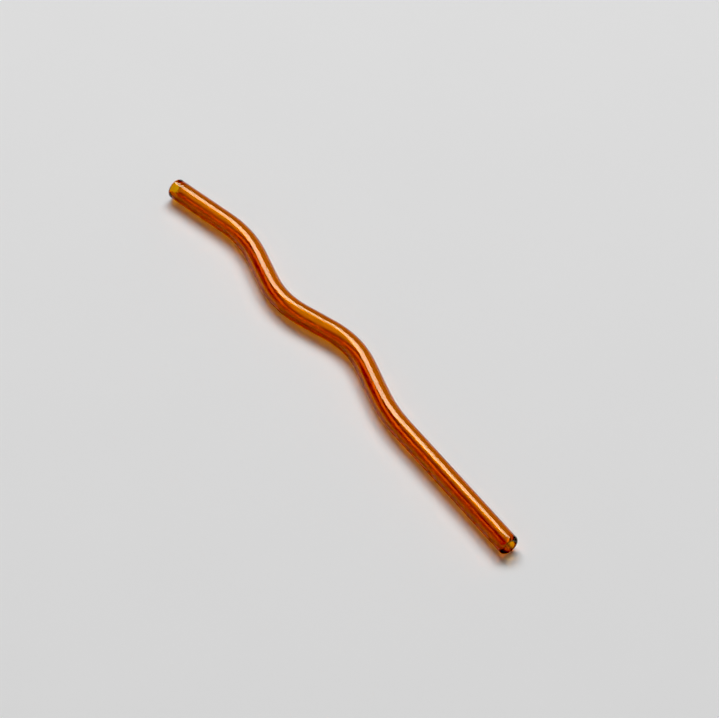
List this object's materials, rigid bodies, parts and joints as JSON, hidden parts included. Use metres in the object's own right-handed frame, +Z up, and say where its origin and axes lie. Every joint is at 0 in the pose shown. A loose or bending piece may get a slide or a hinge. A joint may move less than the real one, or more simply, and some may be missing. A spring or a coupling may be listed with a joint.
{
  "type": "wavy glass drinking straw",
  "caption": "Amber glass drinking straw: round tube, open at both ends with fire-polished lips, bent into a flat double wave near the mouth end and straight along the stem.",
  "frame": {"origin": "centre of the bounding box's bottom face, with the straw lying flat on its side", "axes": "+X along the straight stem towards its open end, with the wavy mouth end at -X; +Y across the wave; +Z up, square to the plane that the tube is bent in"},
  "size_m": [0.214, 0.0176, 0.008],
  "materials": {
    "amber_glass": "clear amber glass, smooth and glossy, fire-polished"
  },
  "bodies": {
    "root": {"glass_tube": "amber_glass"}
  },
  "joints": []
}
